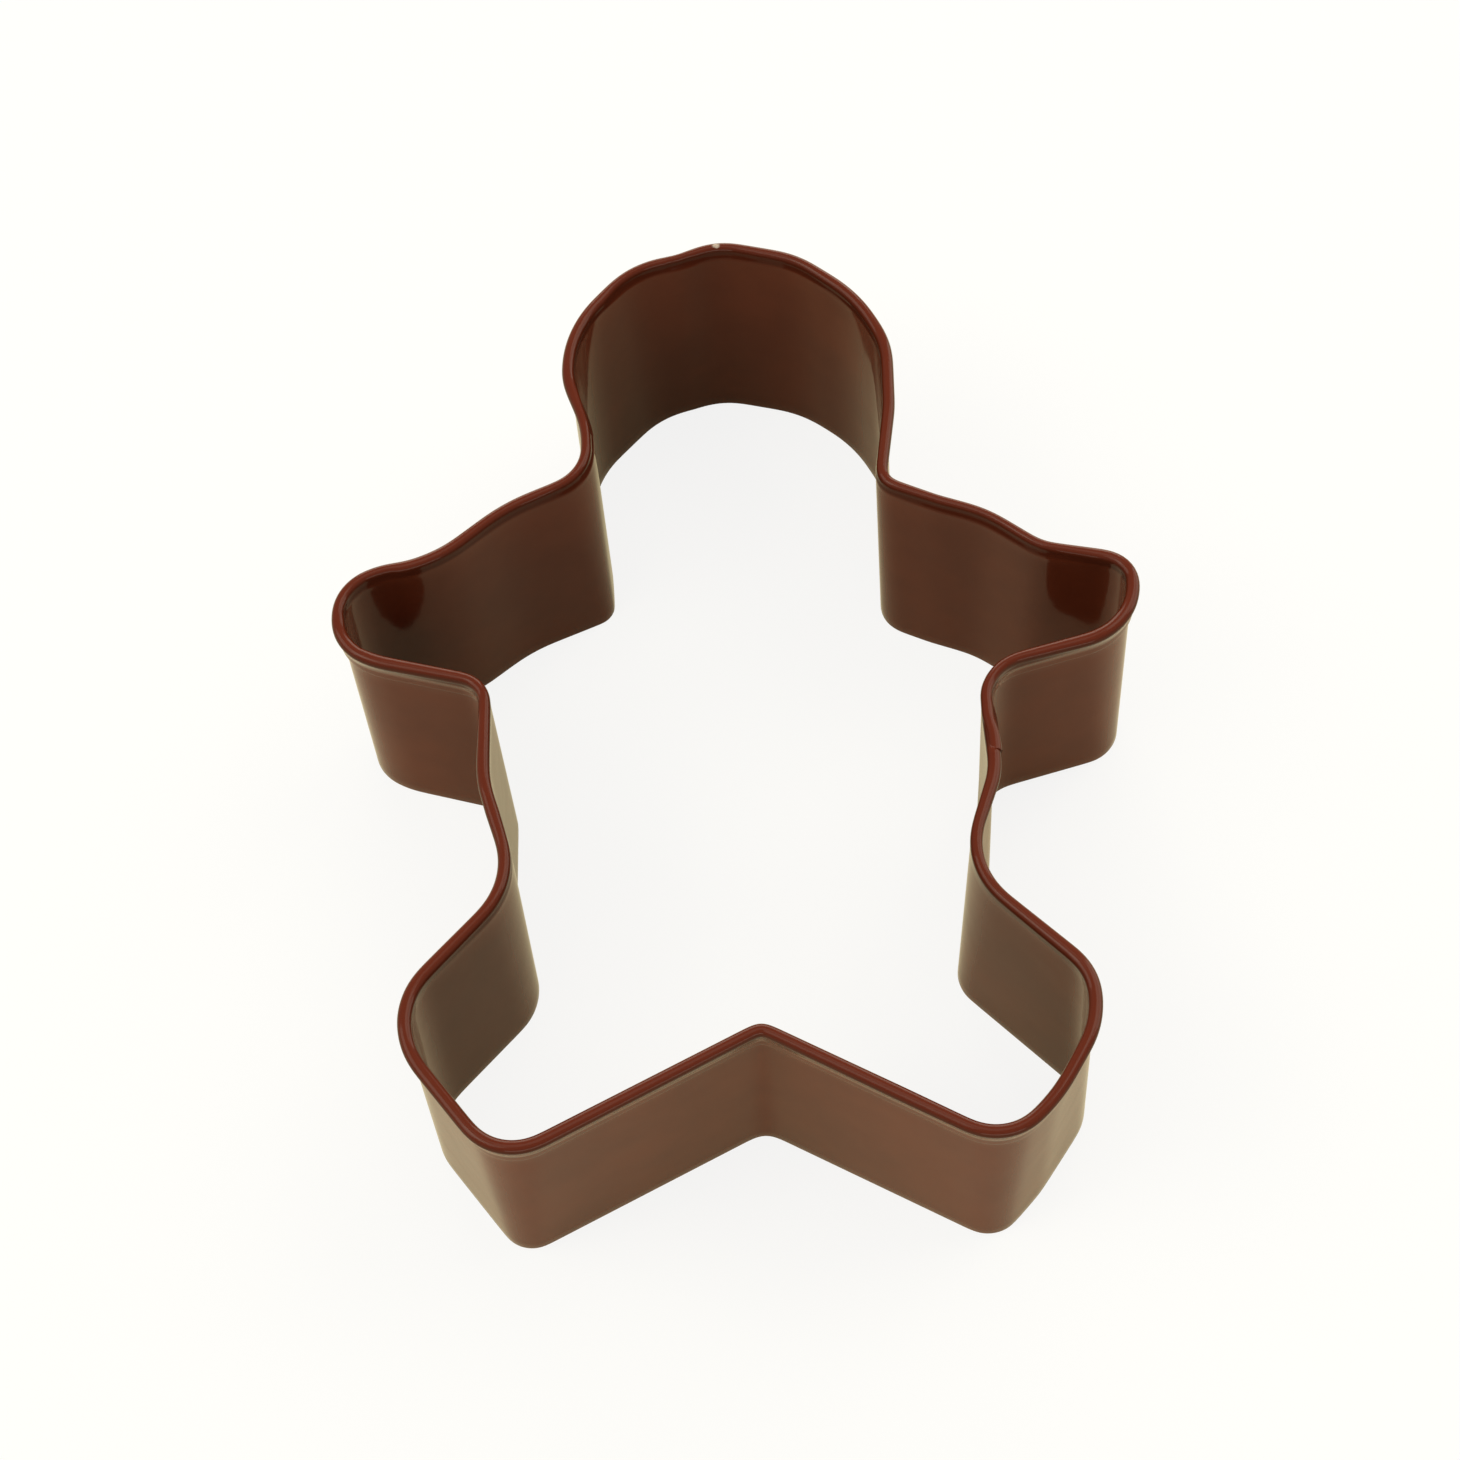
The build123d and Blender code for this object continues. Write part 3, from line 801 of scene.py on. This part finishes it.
coat_inner_face = -half_strip - coat_thickness
coat = bent_band("resin_coat_skin", coat_section(), coat_thickness, coat_inner_face, coat_finish)
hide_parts("resin_coat")
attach(coat, "root")

# The floor
# A plain pale board under the cutter. It takes the soft shadow, and the camera sees it nearly white.
half_board = 3
board_colour = (0.86, 0.84, 0.74)
board_roughness = 0.8
seen_glow = (1.0, 1.0, 1.0)
# To mirrored rays the board glows yellow: a painted warm reflection in the cutter's walls.
painted_reflection_glow = (1.0, 0.85, 0.44)
seen_glow_share = 0.85
painted_reflection_share = 0.4


def light_path_share(tree, seen, mirrored):
    """One share for what the camera sees straight, another for what is mirrored or shines through."""
    path = add_node(tree, "ShaderNodeLightPath").outputs
    seen_share = numbers(tree, "MULTIPLY", path["Is Camera Ray"], seen)
    through_or_off = numbers(tree, "MAXIMUM", path["Is Glossy Ray"], path["Is Transmission Ray"])
    return numbers(tree, "MAXIMUM", seen_share, numbers(tree, "MULTIPLY", through_or_off, mirrored))


board_corners = [(-half_board, -half_board, 0), (half_board, -half_board, 0)]
board_corners += [(half_board, half_board, 0), (-half_board, half_board, 0)]
floor_mesh = bpy.data.meshes.new("floor")
floor_mesh.from_pydata(board_corners, [], [(0, 1, 2, 3)])
floor = bpy.data.objects.new("floor", floor_mesh)
bpy.context.collection.objects.link(floor)
floor_finish = bpy.data.materials.new("white_board")
floor_finish.use_nodes = True
tree = floor_finish.node_tree
shader = tree.nodes["Principled BSDF"]
shader.inputs["Base Color"].default_value = (*board_colour, 1)
shader.inputs["Roughness"].default_value = board_roughness
shader.inputs["Specular IOR Level"].default_value = 0
seen_straight = add_node(tree, "ShaderNodeLightPath").outputs["Is Camera Ray"]
# White to the camera, and yellow to mirrored rays as a painted reflection.
glow = blended(tree, seen_straight, painted_reflection_glow, seen_glow)
board_glow = add_node(tree, "ShaderNodeEmission", {"Color": glow, "Strength": 1.0})
whitening = light_path_share(tree, seen_glow_share, painted_reflection_share)
both = {"Fac": whitening, "Shader": first_output(shader), "Shader_001": first_output(board_glow)}
lit_or_white = first_output(add_node(tree, "ShaderNodeMixShader", both))
tree.links.new(lit_or_white, tree.nodes["Material Output"].inputs["Surface"])
floor_mesh.materials.append(floor_finish)

# The light
# Soft boxes stand round the table, and pale screens at its edge send light in low, across the board.
room_level = 0.26
mirrored_room_share = 0.3
lamp_distance = 1.0
lamp_colour = (1.0, 0.96, 0.78)

bpy.context.scene.view_settings.view_transform = "Standard"
world = bpy.data.worlds.new("studio")
world.use_nodes = True
tree = world.node_tree
background = tree.nodes["Background"]
whitening = light_path_share(tree, 1.0, mirrored_room_share)
level = add_node(tree, "ShaderNodeMix", {"Factor": whitening, "A": room_level, "B": 1.0})
tree.links.new(first_output(level), background.inputs["Strength"])
background.inputs["Color"].default_value = (1, 1, 1, 1)
bpy.context.scene.world = world


def soft_box(name, direction, elevation, width, height, brightness):
    """A soft box that faces the cutter; its brightness is what its face shows, where white is 1."""
    lamp_data = bpy.data.lights.new(name, "AREA")
    lamp_data.shape = "RECTANGLE"
    lamp_data.size = width
    lamp_data.size_y = height
    lamp_data.energy = brightness * width * height * pi
    lamp_data.color = lamp_colour
    lamp = bpy.data.objects.new(name, lamp_data)
    around, up = radians(direction), radians(elevation)
    across = Vector((cos(around), sin(around), 0)) * cos(up)
    lamp.location = (across + Vector((0, 0, sin(up)))) * lamp_distance
    lamp.rotation_euler = (-lamp.location).to_track_quat("-Z", "Y").to_euler()
    lamp.visible_camera = False
    bpy.context.collection.objects.link(lamp)


soft_box("front_screen", direction=-80, elevation=8, width=1.0, height=0.26, brightness=3.5)
soft_box("back_screen", direction=90, elevation=18, width=0.9, height=0.66, brightness=3.6)
soft_box("right_screen", direction=25, elevation=18, width=0.85, height=0.66, brightness=2.5)
soft_box("key_box", direction=30, elevation=54, width=0.6, height=0.5, brightness=2.7)
soft_box("left_box", direction=185, elevation=40, width=0.8, height=0.7, brightness=2.6)
soft_box("fill_box", direction=215, elevation=54, width=0.6, height=0.5, brightness=2.2)
soft_box("top_box", direction=0, elevation=89, width=0.6, height=0.6, brightness=1.3)

# The camera
# It looks down on the figure from beyond its feet and is turned a little. Its place and lens were
# fitted to the rim and the cutting edge in the photograph. Sensor and lens are in millimetres.
camera_place = Vector((6.541, -147.858, 275.288)) * mm
looked_at = Vector((-1.443, 6.566, 0)) * mm
camera_roll = radians(-4.89)
sensor_width = 36
lens_length = 78.4

camera_data = bpy.data.cameras.new("camera")
camera_data.sensor_width = sensor_width
camera_data.lens = lens_length
camera = bpy.data.objects.new("camera", camera_data)
facing = (looked_at - camera_place).to_track_quat("-Z", "Y").to_matrix().to_4x4()
camera.matrix_world = Matrix.Translation(camera_place) @ facing @ Matrix.Rotation(camera_roll, 4, "Z")
bpy.context.collection.objects.link(camera)
bpy.context.scene.camera = camera
